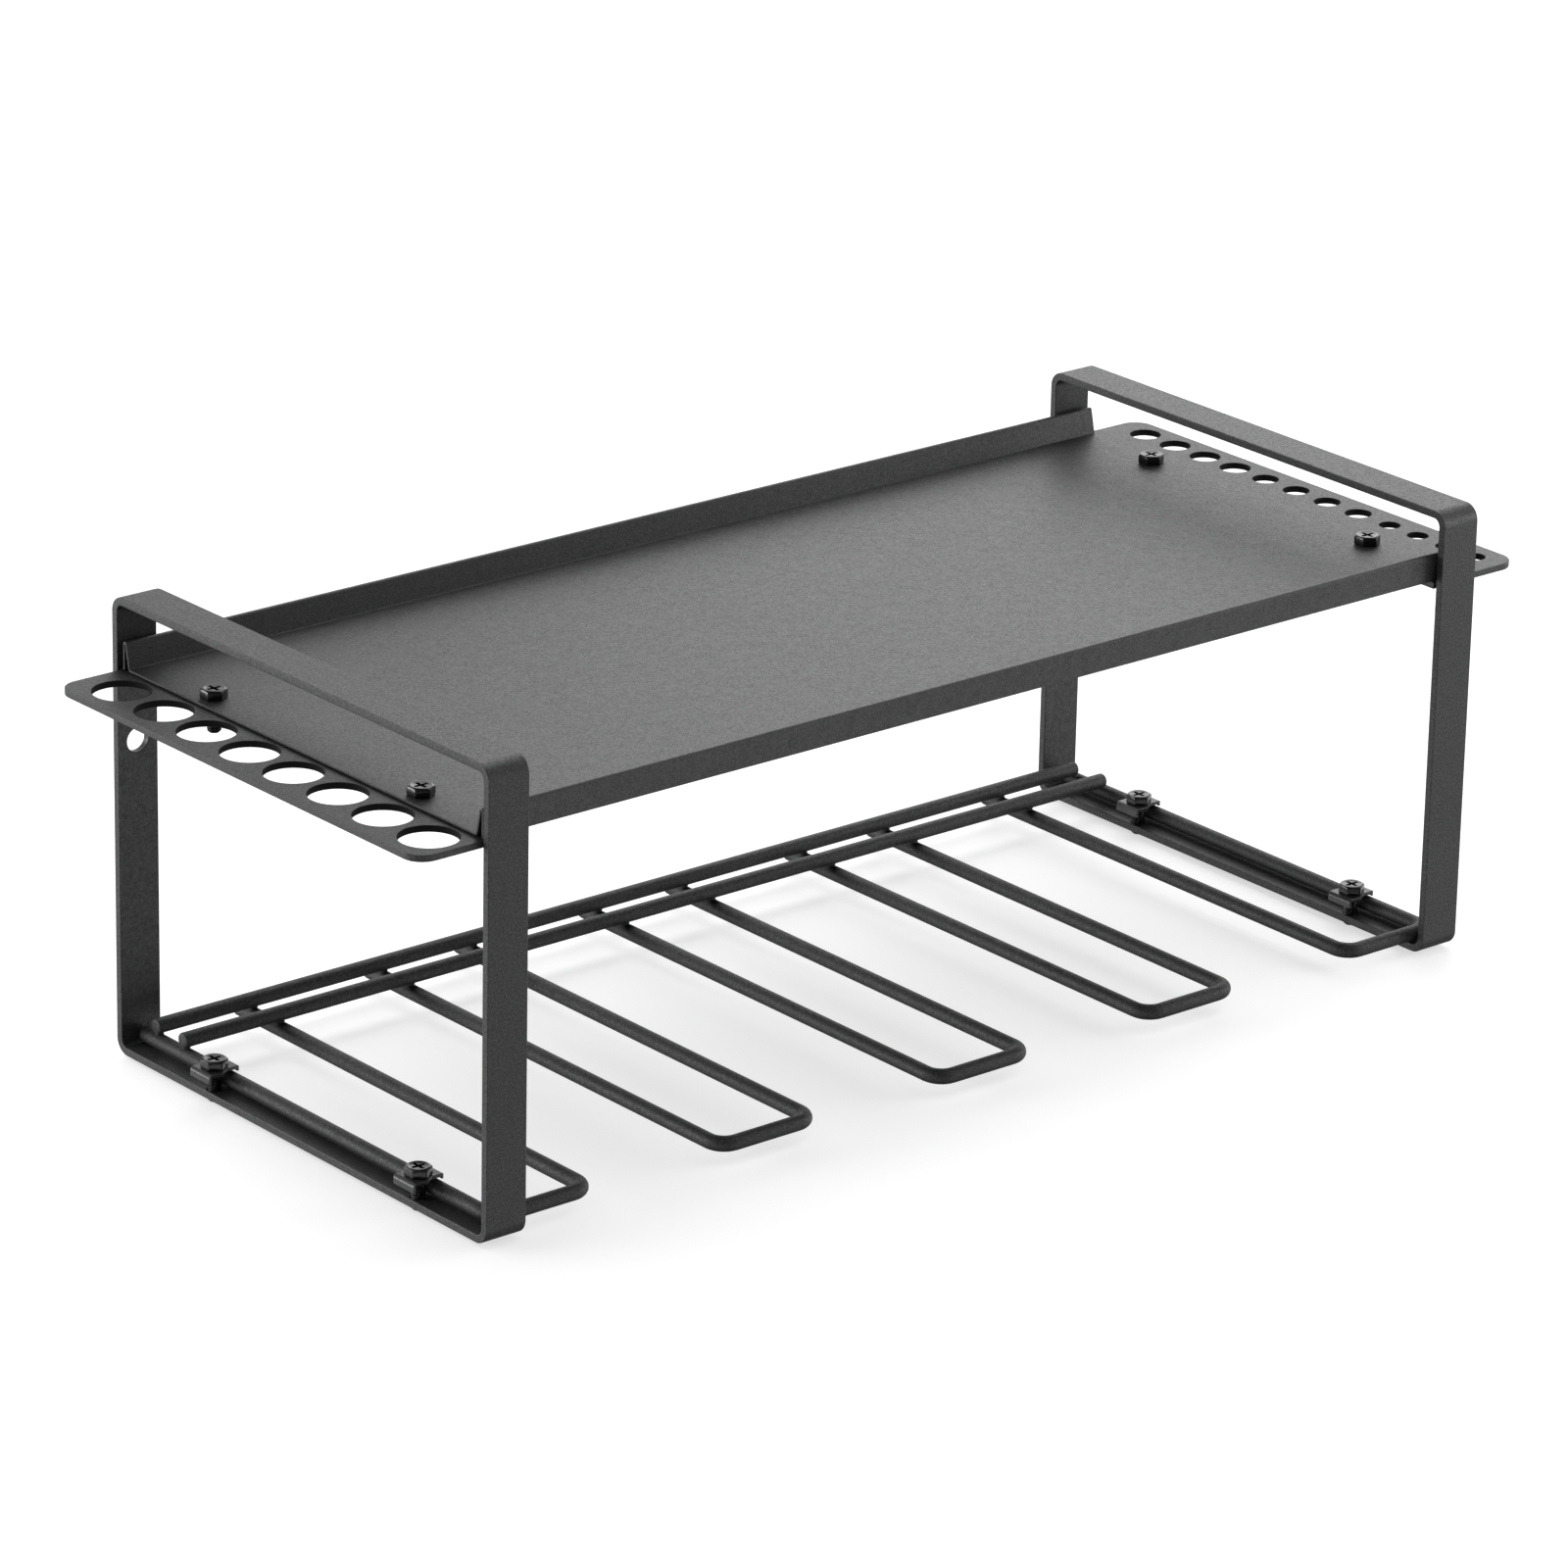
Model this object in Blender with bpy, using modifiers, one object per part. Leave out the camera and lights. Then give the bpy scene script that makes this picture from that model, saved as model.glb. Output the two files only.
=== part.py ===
"""A steel rack for hair tools, for a wall or a bench, modelled at its real size in metres.

Two hoops of flat bar carry a hemmed shelf and two drilled tool plates above, and a rack of wire
loops below. Shelf and wire rack are bolted on, and the rest is welded.
The origin is under the middle of the rack, on the plane that the lowest bolt tips touch.
+X runs along the shelf, +Y goes back to the wall and +Z is up.
"""

import math

import bmesh
import bpy
from mathutils import Matrix, Vector

# Left open between two pieces that touch.
GAP = 0.0003

# Hoops of flat bar, one at each end.
FRAME_LENGTH = 0.4220
HOOP_DEPTH = 0.2000
HOOP_HEIGHT = 0.1602
BAR_WIDTH = 0.0157
BAR_THICK = 0.0028
BAR_BEND = 0.0055
WALL_HOLE_HEIGHT = 0.1089
WALL_HOLE_RADIUS = 0.0042

# Tool plates, welded between the legs of the hoops.
PLATE_WIDTH = 0.0400
PLATE_THICK = 0.0023
PLATE_LENGTH = 0.1930
PLATE_TOP = 0.1348
PLATE_CORNER = 0.0070
PLATE_SHIFT_Y = 0.0004
BRUSH_HOLE_RADIUS = 0.0099
BRUSH_HOLE_COUNT = 8
BRUSH_HOLE_FIRST = 0.0801
BRUSH_HOLE_PITCH = 0.02332
BRUSH_HOLE_INSET = 0.0141
SCISSOR_HOLE_RADII = (0.0055, 0.0047, 0.00375)
SCISSOR_HOLES_PER_SIZE = 4
SCISSOR_HOLE_FIRST = 0.0826
SCISSOR_HOLE_WIDE_PITCH = 0.0157
SCISSOR_HOLE_NARROW_PITCH = 0.0139
SCISSOR_HOLE_INSET = 0.0094

# Shelf of thin sheet, with a hemmed lip along its front and rear edges.
SHEET_THICK = 0.0008
TRAY_LENGTH = 0.4196
LIP_BASE = 0.0922
LIP_TOP = 0.0942
LIP_OUTSIDE = 0.0952
LIP_HEIGHT = 0.0090
LIP_BEND = 0.0009
HEM_BEND = 0.00044
HEM_DROP = 0.0003

# Wire rack: five loops under two rails.
WIRE_RADIUS = 0.00265
LOOP_COUNT = 5
LOOP_PITCH = 0.0922
LOOP_WIDTH = 0.0381
LOOP_MIDDLE = 0.0007
LOOP_FRONT = -0.0926
LOOP_REAR = 0.0955
LOOP_BEND = 0.0060
RAIL_LEFT = -0.2045
RAIL_RIGHT = 0.2015
RAIL_REAR_Y = 0.0872
RAIL_FRONT_Y = 0.0720

# Clips that hold the outermost wires down on the bars.
CLIP_THICK = 0.0012
CLIP_LENGTH = 0.0112
CLIP_HEEL_REACH = 0.0054
CLIP_TOE_REACH = 0.0075
CLIP_HEEL_DROP = 0.0024
CLIP_TOE_DROP = 0.0014
CLIP_SHOULDER = 0.0011
CLIP_WAIST = 0.0026
CLIP_TONGUE_WIDTH = 0.0066
CLIP_BEND = 0.0009
CLIP_LIFT = 0.0006

# Hexagon bolts, M5 x 12 with a cross recess.
BOLT_RADIUS = 0.00240
BOLT_LENGTH = 0.0120
HEAD_ACROSS_FLATS = 0.0080
HEAD_HEIGHT = 0.0033
HEAD_CHAMFER = 0.0005
TIP_CHAMFER = 0.0006
RECESS_WIDTH = 0.0010
RECESS_LENGTH = 0.0056
RECESS_DEPTH = 0.0012
BOLT_SPACING_Y = 0.1100
SHELF_BOLT_OFF_MIDDLE = 0.0003
CLIP_BOLT_OFF_MIDDLE = 0.00475
CLIP_BOLT_SHIFT_Y = -0.0058

# How finely round shapes are drawn.
ARC_STEPS = 5
HOLE_SIDES = 24
BOLT_SIDES = 24

# Heights above the underside of the hoops, stacked from the bars up.
LOOP_HEIGHT = BAR_THICK + GAP + WIRE_RADIUS
RAIL_HEIGHT = LOOP_HEIGHT + 2 * WIRE_RADIUS + GAP
CLIP_TOP = LOOP_HEIGHT + WIRE_RADIUS + GAP + CLIP_LIFT + CLIP_THICK
CLIP_BOLT_SEAT = CLIP_TOP + GAP
SHELF_MIDDLE = PLATE_TOP + GAP + SHEET_THICK / 2
SHELF_BOLT_SEAT = SHELF_MIDDLE + SHEET_THICK / 2 + GAP

# The clip bolts stand out under the bars by this much, and the rack stands on their tips.
FOOT = BOLT_LENGTH - CLIP_BOLT_SEAT

BAR_MIDDLE = (FRAME_LENGTH - BAR_WIDTH) / 2
PLATE_INSIDE = FRAME_LENGTH / 2 - BAR_WIDTH
BOLT_HOLE_RADIUS = BOLT_RADIUS + 0.8 * GAP

PLATE_FINISH = ((0.055, 0.056, 0.058), 0.55)
FRAME_FINISH = ((0.042, 0.043, 0.045), 0.55)
WIRE_FINISH = ((0.030, 0.031, 0.032), 0.60)
BOLT_FINISH = ((0.012, 0.012, 0.013), 0.30)


def collection_for(name):
    made = bpy.data.collections.new(name)
    bpy.context.scene.collection.children.link(made)
    return made


def add_object(name, data, collection):
    made = bpy.data.objects.new(name, data)
    collection.objects.link(made)
    return made


def finish(piece, look):
    """Gives the piece its own coated-steel material."""
    colour, roughness = look
    material = bpy.data.materials.new(piece.name + "_finish")
    material.use_nodes = True
    shader = material.node_tree.nodes["Principled BSDF"]
    shader.inputs["Base Color"].default_value = (*colour, 1)
    shader.inputs["Roughness"].default_value = roughness
    shader.inputs["Metallic"].default_value = 0.0
    piece.data.materials.clear()
    piece.data.materials.append(material)


def shade(mesh):
    mesh.shade_smooth()
    mesh.set_sharp_from_angle(angle=math.radians(35))


def circle(middle, radius, sides=HOLE_SIDES):
    turns = [2 * math.pi * (side + 0.5) / sides for side in range(sides)]
    return [(middle[0] + radius * math.cos(a), middle[1] + radius * math.sin(a)) for a in turns]


def filleted(corners, radii):
    """A path through the corners, with an arc of its radius at each. A radius of 0 keeps a corner."""
    path = []
    for index, corner in enumerate(corners):
        here = Vector(corner)
        if not radii[index]:
            path.append(here)
            continue
        back = (Vector(corners[index - 1]) - here).normalized()
        ahead = (Vector(corners[(index + 1) % len(corners)]) - here).normalized()
        half_angle = back.angle(ahead) / 2
        centre = here + (back + ahead).normalized() * radii[index] / math.sin(half_angle)
        reach = radii[index] / math.tan(half_angle)
        first = here + back * reach - centre
        last = here + ahead * reach - centre
        for step in range(ARC_STEPS + 1):
            path.append(centre + first.slerp(last, step / ARC_STEPS).normalized() * radii[index])
    return path


def plan_curve(name, outlines, thickness):
    """A flat curve in the XY plane: the first outline is the outside, and the rest are holes."""
    curve = bpy.data.curves.new(name, "CURVE")
    curve.dimensions = "2D"
    curve.fill_mode = "BOTH"
    curve.extrude = thickness / 2
    for outline in outlines:
        spline = curve.splines.new("POLY")
        spline.points.add(len(outline) - 1)
        for point, place in zip(spline.points, outline):
            point.co = (place[0], place[1], 0, 1)
        spline.use_cyclic_u = True
    return curve


def as_mesh(piece):
    """Turns a curve object into a mesh object whose caps are welded on."""
    graph = bpy.context.evaluated_depsgraph_get()
    mesh = bpy.data.meshes.new_from_object(piece.evaluated_get(graph))
    shape = bmesh.new()
    shape.from_mesh(mesh)
    bmesh.ops.remove_doubles(shape, verts=shape.verts, dist=1e-6)
    bmesh.ops.recalc_face_normals(shape, faces=shape.faces)
    shape.to_mesh(mesh)
    shape.free()
    shade(mesh)
    name = piece.name
    collection = piece.users_collection[0]
    place = piece.matrix_world.copy()
    bpy.data.objects.remove(piece)
    made = add_object(name, mesh, collection)
    made.matrix_world = place
    return made


def flat_piece(name, outlines, thickness, place):
    piece = add_object(name, plan_curve(name, outlines, thickness), PARTS)
    piece.matrix_world = place
    bpy.context.view_layer.update()
    return as_mesh(piece)


def bent_sheet(name, section, thickness, span, place):
    """Sheet bent along X: the section is its middle line, as Y and Z, and span is its length."""
    shape = bmesh.new()
    line = [shape.verts.new((-span / 2, y, z)) for y, z in section]
    edges = [shape.edges.new(pair) for pair in zip(line, line[1:])]
    swept = bmesh.ops.extrude_edge_only(shape, edges=edges)["geom"]
    far = [item for item in swept if isinstance(item, bmesh.types.BMVert)]
    bmesh.ops.translate(shape, verts=far, vec=(span, 0, 0))
    mesh = bpy.data.meshes.new(name)
    shape.to_mesh(mesh)
    shape.free()
    piece = add_object(name, mesh, PARTS)
    piece.matrix_world = place
    shell = piece.modifiers.new("Thickness", "SOLIDIFY")
    shell.thickness = thickness
    shell.offset = 0
    shell.use_even_offset = True
    return piece


def wire(name, path, height):
    """A round wire along a level path."""
    curve = bpy.data.curves.new(name, "CURVE")
    curve.dimensions = "3D"
    curve.bevel_depth = WIRE_RADIUS
    curve.bevel_resolution = 2
    curve.use_fill_caps = True
    spline = curve.splines.new("POLY")
    spline.points.add(len(path) - 1)
    for point, (x, y) in zip(spline.points, path):
        point.co = (x, y, 0, 1)
        point.radius = 1
    piece = add_object(name, curve, PARTS)
    piece.location.z = height
    finish(piece, WIRE_FINISH)
    return piece


def cut(piece, cutter, operation="DIFFERENCE"):
    modifier = piece.modifiers.new(cutter.name, "BOOLEAN")
    modifier.operation = operation
    modifier.solver = "EXACT"
    modifier.object = cutter


def cutter_object(name, mesh, place):
    cutter = add_object(name, mesh, CUTTERS)
    cutter.matrix_world = place
    cutter.hide_render = True
    cutter.display_type = "WIRE"
    return cutter


def round_cutter(name, radius, depth, place, sides=HOLE_SIDES):
    mesh = bpy.data.meshes.new(name)
    shape = bmesh.new()
    bmesh.ops.create_cone(
        shape, cap_ends=True, segments=sides, radius1=radius, radius2=radius, depth=depth
    )
    shape.to_mesh(mesh)
    shape.free()
    return cutter_object(name, mesh, place)


def box_cutter(name, size, place):
    mesh = bpy.data.meshes.new(name)
    shape = bmesh.new()
    bmesh.ops.create_cube(shape, size=1, matrix=Matrix.Diagonal((*size, 1)))
    shape.to_mesh(mesh)
    shape.free()
    return cutter_object(name, mesh, place)


def prism_cutter(name, outline, depth, place):
    shape = bmesh.new()
    base = shape.faces.new([shape.verts.new((x, y, -depth / 2)) for x, y in outline])
    swept = bmesh.ops.extrude_face_region(shape, geom=[base])["geom"]
    top = [item for item in swept if isinstance(item, bmesh.types.BMVert)]
    bmesh.ops.translate(shape, verts=top, vec=(0, 0, depth))
    bmesh.ops.recalc_face_normals(shape, faces=shape.faces)
    mesh = bpy.data.meshes.new(name)
    shape.to_mesh(mesh)
    shape.free()
    return cutter_object(name, mesh, place)


def hoop_frame(name, side):
    """A closed hoop of flat bar, with a wall hole in its rear leg and two bolt holes below."""
    half_depth = HOOP_DEPTH / 2
    ground = [(-half_depth, 0), (half_depth, 0)]
    outside = ground + [(half_depth, HOOP_HEIGHT), (-half_depth, HOOP_HEIGHT)]
    inside = [
        (math.copysign(abs(y) - BAR_THICK, y), BAR_THICK if z == 0 else HOOP_HEIGHT - BAR_THICK)
        for y, z in outside
    ]
    outlines = [
        filleted(outside, [BAR_BEND] * 4),
        filleted(inside, [BAR_BEND - BAR_THICK] * 4),
    ]
    upright = Matrix.Rotation(math.pi / 2, 4, "Z") @ Matrix.Rotation(math.pi / 2, 4, "X")
    place = Matrix.Translation((side * BAR_MIDDLE, 0, FOOT)) @ upright
    hoop = flat_piece(name, outlines, BAR_WIDTH, place)
    wall_place = Matrix.Translation((side * BAR_MIDDLE, half_depth, FOOT + WALL_HOLE_HEIGHT))
    wall_place = wall_place @ Matrix.Rotation(math.pi / 2, 4, "X")
    cut(hoop, round_cutter(name + "_wall_hole", WALL_HOLE_RADIUS, 4 * BAR_THICK, wall_place))
    for y in clip_bolt_ys():
        bolt_place = Matrix.Translation((clip_bolt_x(side), y, FOOT))
        cut(hoop, round_cutter(f"{name}_bolt_hole", BOLT_HOLE_RADIUS, 4 * BAR_THICK, bolt_place))
    finish(hoop, FRAME_FINISH)


def tool_plate(name, side, tool_holes):
    """A drilled plate between the legs of a hoop. It reaches out past the hoop's outer edge."""
    inner_x = side * PLATE_INSIDE
    outer_x = inner_x + side * PLATE_WIDTH
    half = PLATE_LENGTH / 2
    front, rear = PLATE_SHIFT_Y - half, PLATE_SHIFT_Y + half
    corners = [(inner_x, front), (outer_x, front), (outer_x, rear), (inner_x, rear)]
    outline = filleted(corners, [0, PLATE_CORNER, PLATE_CORNER, 0])
    bolts = [circle((shelf_bolt_x(side), y), BOLT_HOLE_RADIUS) for y in shelf_bolt_ys()]
    middle = FOOT + PLATE_TOP - PLATE_THICK / 2
    outlines = [outline, *bolts, *tool_holes]
    plate = flat_piece(name, outlines, PLATE_THICK, Matrix.Translation((0, 0, middle)))
    finish(plate, PLATE_FINISH)


def brush_holes():
    x = BRUSH_HOLE_INSET - PLATE_WIDTH - PLATE_INSIDE
    ys = [BRUSH_HOLE_FIRST - BRUSH_HOLE_PITCH * index for index in range(BRUSH_HOLE_COUNT)]
    return [circle((x, y), BRUSH_HOLE_RADIUS) for y in ys]


def scissor_holes():
    """Holes in three sizes, from the largest at the back."""
    holes = []
    x = PLATE_INSIDE + PLATE_WIDTH - SCISSOR_HOLE_INSET
    y = SCISSOR_HOLE_FIRST
    for radius in SCISSOR_HOLE_RADII:
        smallest = radius == SCISSOR_HOLE_RADII[-1]
        for _ in range(SCISSOR_HOLES_PER_SIZE):
            holes.append(circle((x, y), radius))
            y -= SCISSOR_HOLE_NARROW_PITCH if smallest else SCISSOR_HOLE_WIDE_PITCH
    return holes


def shelf_tray():
    """The shelf: a flat sheet whose front and rear edges turn up, fold over and come back down."""
    top = LIP_HEIGHT
    half = [(LIP_BASE, 0), (LIP_TOP, top), (LIP_OUTSIDE, top), (LIP_OUTSIDE, -HEM_DROP)]
    bends = [LIP_BEND, HEM_BEND, HEM_BEND, 0]
    corners = [(-y, z) for y, z in reversed(half)] + half
    section = filleted(corners, bends[::-1] + bends)
    place = Matrix.Translation((0, 0, FOOT + SHELF_MIDDLE))
    tray = bent_sheet("shelf_tray", section, SHEET_THICK, TRAY_LENGTH, place)
    for side in (-1, 1):
        for y in shelf_bolt_ys():
            hole_place = Matrix.Translation((shelf_bolt_x(side), y, FOOT + SHELF_MIDDLE))
            cut(tray, round_cutter("tray_bolt_hole", BOLT_HOLE_RADIUS, 6 * SHEET_THICK, hole_place))
    finish(tray, FRAME_FINISH)


def hook_loops():
    """Long U loops of wire, closed at the front. The outermost wires lie on the bars."""
    for index in range(LOOP_COUNT):
        middle = LOOP_MIDDLE + LOOP_PITCH * (index - (LOOP_COUNT - 1) / 2)
        left, right = middle - LOOP_WIDTH / 2, middle + LOOP_WIDTH / 2
        corners = [(left, LOOP_REAR), (left, LOOP_FRONT), (right, LOOP_FRONT), (right, LOOP_REAR)]
        path = filleted(corners, [0, LOOP_BEND, LOOP_BEND, 0])
        wire(f"hook_loop_{index + 1}", path, FOOT + LOOP_HEIGHT)


def rack_rails():
    for name, y in (("rear_rack_rail", RAIL_REAR_Y), ("front_rack_rail", RAIL_FRONT_Y)):
        wire(name, [(RAIL_LEFT, y), (RAIL_RIGHT, y)], FOOT + RAIL_HEIGHT)


def shelf_bolt_x(side):
    return side * BAR_MIDDLE + SHELF_BOLT_OFF_MIDDLE


def clip_bolt_x(side):
    """Each clip bolt stands left of the wire that it holds, because both hoops are drilled alike."""
    return side * BAR_MIDDLE - CLIP_BOLT_OFF_MIDDLE


def clip_bolt_ys():
    return [CLIP_BOLT_SHIFT_Y + BOLT_SPACING_Y / 2, CLIP_BOLT_SHIFT_Y - BOLT_SPACING_Y / 2]


def shelf_bolt_ys():
    return [BOLT_SPACING_Y / 2, -BOLT_SPACING_Y / 2]


def clip_plan():
    """The clip from above, with its bolt at the origin: wide at the heel, with a tongue for a toe."""
    heel = -CLIP_HEEL_REACH - CLIP_THICK
    toe = CLIP_TOE_REACH + CLIP_THICK
    half, tongue = CLIP_LENGTH / 2 + GAP, CLIP_TONGUE_WIDTH / 2
    rear = [(heel, half), (-CLIP_SHOULDER, half), (CLIP_WAIST, tongue), (toe, tongue)]
    front = [(x, -y) for x, y in reversed(rear)]
    bends = [0, 0.0032, 0.0018, 0]
    return filleted(rear + front, bends + bends[::-1])


def clamp_clip(name, x, y):
    """A stamped clip: its heel hangs beside the bolt, and its toe presses on the wire."""
    corners = [
        (-CLIP_HEEL_REACH, -CLIP_HEEL_DROP),
        (-CLIP_HEEL_REACH, 0),
        (CLIP_TOE_REACH, 0),
        (CLIP_TOE_REACH, -CLIP_TOE_DROP),
    ]
    section = filleted(corners, [0, CLIP_BEND, CLIP_BEND, 0])
    height = FOOT + CLIP_TOP - CLIP_THICK / 2
    turned = Matrix.Translation((x, y, height)) @ Matrix.Rotation(-math.pi / 2, 4, "Z")
    clip = bent_sheet(name, section, CLIP_THICK, CLIP_LENGTH, turned)
    upright = Matrix.Translation((x, y, height))
    cut(clip, prism_cutter(name + "_plan", clip_plan(), 8 * CLIP_THICK, upright), "INTERSECT")
    cut(clip, round_cutter(name + "_hole", BOLT_HOLE_RADIUS, 4 * CLIP_THICK, upright))
    finish(clip, FRAME_FINISH)


def turned_bolt_mesh():
    """Head and shank as one turned shape, head side up, with the head's underside at 0."""
    head_radius = HEAD_ACROSS_FLATS / math.sqrt(3)
    profile = [
        (0, HEAD_HEIGHT),
        (head_radius - 2 * HEAD_CHAMFER, HEAD_HEIGHT),
        (head_radius, HEAD_HEIGHT - HEAD_CHAMFER),
        (head_radius, 0),
        (BOLT_RADIUS, 0),
        (BOLT_RADIUS, TIP_CHAMFER - BOLT_LENGTH),
        (BOLT_RADIUS - TIP_CHAMFER, -BOLT_LENGTH),
        (0, -BOLT_LENGTH),
    ]
    mesh = bpy.data.meshes.new("turned_bolt")
    shape = bmesh.new()
    line = [shape.verts.new((radius, 0, z)) for radius, z in profile]
    for pair in zip(line, line[1:]):
        shape.edges.new(pair)
    shape.to_mesh(mesh)
    shape.free()
    return mesh


def hex_bolt(name, x, y, seat):
    """A bolt whose head stands on the seat height. Its hexagon is cut from the turned shape."""
    place = Matrix.Translation((x, y, FOOT + seat))
    bolt = add_object(name, turned_bolt_mesh(), PARTS)
    bolt.matrix_world = place
    turning = bolt.modifiers.new("Turning", "SCREW")
    turning.steps = BOLT_SIDES
    turning.render_steps = BOLT_SIDES
    turning.use_merge_vertices = True
    turning.merge_threshold = 1e-5
    hexagon = round_cutter(name + "_hexagon", HEAD_ACROSS_FLATS / math.sqrt(3), 0.04, place, sides=6)
    cut(bolt, hexagon, "INTERSECT")
    recess_place = place @ Matrix.Translation((0, 0, HEAD_HEIGHT))
    for index in range(2):
        across = Matrix.Rotation(index * math.pi / 2, 4, "Z")
        size = (RECESS_LENGTH, RECESS_WIDTH, 2 * RECESS_DEPTH)
        cut(bolt, box_cutter(f"{name}_recess_{index + 1}", size, recess_place @ across))
    finish(bolt, BOLT_FINISH)


for old in list(bpy.data.objects):
    bpy.data.objects.remove(old)
PARTS = collection_for("hair_tool_rack")
CUTTERS = collection_for("cutters")

for side_name, side_sign in (("left", -1), ("right", 1)):
    hoop_frame(f"{side_name}_hoop_frame", side_sign)
    for row_name, bolt_y, clip_y in zip(("rear", "front"), shelf_bolt_ys(), clip_bolt_ys()):
        corner_name = f"{side_name}_{row_name}"
        clip_x = clip_bolt_x(side_sign)
        hex_bolt(f"shelf_bolt_{corner_name}", shelf_bolt_x(side_sign), bolt_y, SHELF_BOLT_SEAT)
        clamp_clip(f"clamp_clip_{corner_name}", clip_x, clip_y)
        hex_bolt(f"clip_bolt_{corner_name}", clip_x, clip_y, CLIP_BOLT_SEAT)
tool_plate("left_tool_plate", -1, brush_holes())
tool_plate("right_tool_plate", 1, scissor_holes())
shelf_tray()
rack_rails()
hook_loops()
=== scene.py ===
"""The finished look of the hair tool rack: coated steel, wire, clips and bolts in detail.

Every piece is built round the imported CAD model, in metres and in its frame, and stands for the
CAD node that it replaces: +X runs along the shelf, +Y goes back to the wall and +Z is up.
"""

import math

import bmesh
import bpy
from mathutils import Matrix, Vector, noise


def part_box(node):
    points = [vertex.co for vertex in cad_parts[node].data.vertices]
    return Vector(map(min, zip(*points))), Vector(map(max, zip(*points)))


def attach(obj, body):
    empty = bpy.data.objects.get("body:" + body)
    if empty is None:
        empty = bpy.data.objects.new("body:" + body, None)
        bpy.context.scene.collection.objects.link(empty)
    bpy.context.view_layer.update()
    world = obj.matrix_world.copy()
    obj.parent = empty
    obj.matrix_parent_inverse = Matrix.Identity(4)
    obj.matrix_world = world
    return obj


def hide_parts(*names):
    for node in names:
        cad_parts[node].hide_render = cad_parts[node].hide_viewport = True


# Flat bar and sheet: the sizes that the CAD boxes don't give.
BAR_THICK = 0.0028
BAR_BEND = 0.0055
BAR_EDGE = 0.00030
WALL_HOLE_HEIGHT = 0.1101
WALL_HOLE_RADIUS = 0.0042
PLATE_CORNER = 0.0070
PLATE_EDGE = 0.00020
SHEET_THICK = 0.0008
SHEET_EDGE = 0.00016
LIP_BASE = 0.0922
LIP_TOP = 0.0942
LIP_OUTSIDE = 0.0952
LIP_HEIGHT = 0.0090
LIP_BEND = 0.0009
HEM_BEND = 0.00044
HEM_DROP = 0.0003

# Tool holes, counted from the back.
BRUSH_HOLE_RADIUS = 0.0099
BRUSH_HOLE_COUNT = 8
BRUSH_HOLE_FIRST = 0.0801
BRUSH_HOLE_PITCH = 0.02332
BRUSH_HOLE_INSET = 0.0141
SCISSOR_HOLE_RADII = (0.0055, 0.0047, 0.00375)
SCISSOR_HOLES_PER_SIZE = 4
SCISSOR_HOLE_FIRST = 0.0826
SCISSOR_HOLE_WIDE_PITCH = 0.0157
SCISSOR_HOLE_NARROW_PITCH = 0.0139
SCISSOR_HOLE_INSET = 0.0094

# Wires.
LOOP_COUNT = 5
LOOP_BEND = 0.0060
WIRE_END_ROUNDING = 0.0007

# Clips and bolts.
CLIP_THICK = 0.0012
CLIP_EDGE = 0.00022
CLIP_BEND = 0.0009
CLIP_TOE_DROP = 0.0014
CLIP_SHOULDER = 0.0049
CLIP_WAIST = 0.0086
CLIP_TONGUE_WIDTH = 0.0066
CLIP_CORNERS = [0.0009, 0.0032, 0.0018, 0.0012]
BOLT_HOLE_RADIUS = 0.00264
BOLT_HOLE_EDGE = 0.0001
HEAD_ACROSS_FLATS = 0.0080
HEAD_CORNER_RADIUS = 0.00459
HEAD_HEIGHT = 0.0033
HEAD_RIM_RADIUS = 0.00375
HEAD_CHAMFER = math.radians(30)
HEAD_DISH_RADIUS = 0.0030
HEAD_DISH_DEPTH = 0.00015
RECESS_WIDTH = 0.0014
RECESS_LENGTH = 0.0060
RECESS_DEPTH = 0.0024
SEAT_GAP = 0.00025
SHANK_OVERLAP = 0.0003
THREAD_PITCH = 0.0008
THREAD_DEPTH = 0.00045
THREAD_RADIUS = 0.00239
THREAD_RUNOUT = 0.0006
THREAD_TIP_CUT = 0.0007

# Weld beads, and nuggets where wires have fused. A bead stands off the leg by a part of its radius.
WELD_RADIUS = 0.0008
WELD_RIPPLE = 0.0011
WELD_UNEVENNESS = 0.12
WELD_INSET = 0.0009
WELD_PROUD = 0.35
WELD_RAISE = 0.0002
WELD_DROP = 0.0004
NUGGET_SIZE = (0.0014, 0.0014, 0.0009)
NUGGET_UNEVENNESS = 0.22
NUGGET_INSET = 0.0003

# The camera stands in front of the rack's left end, and looks down on it.
CAMERA_PLACE = (-1.53775, -1.81452, 0.97304)
CAMERA_AZIMUTH = math.radians(-40.11)
CAMERA_ELEVATION = math.radians(20.62)
CAMERA_ROLL = math.radians(1.19)
CAMERA_LENS = 174.38

# The studio's brightness, by how far a direction points along an axis. The axis is UPWARD below the
# horizon, and above it SKY_AXIS, from the dim side to the bright side. HORIZON_STOPS joins the two.
UPWARD = (0, 0, 1)
HORIZON_STOPS = [(-0.12, 0), (0.05, 1)]
SKY_BELOW_STOPS = [(-0.80, 0.12), (-0.50, 0.60), (-0.30, 1.40)]
SKY_AXIS = (0.50, 0.70, 0.50)
SKY_STOPS = [(-0.1, 0.13), (0.40, 0.70), (0.85, 1.10)]
FLOOR_HALF_WIDTH = 7
FLOOR_GLOW = 0.62

# The studio's soft boxes, with the place, size and power of each. All face the origin.
SOFT_BOXES = [
    ("overhead", (0.5, 0.7, 2.1), (2.2, 1.6), 19),
    ("key", (0.95, 0.75, 0.60), (0.8, 0.6), 2.6),
    ("side", (0.80, -0.50, 0.28), (0.5, 0.4), 2.8),
    ("left", (-1.1, 0.7, 0.20), (0.8, 0.3), 9),
]

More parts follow.
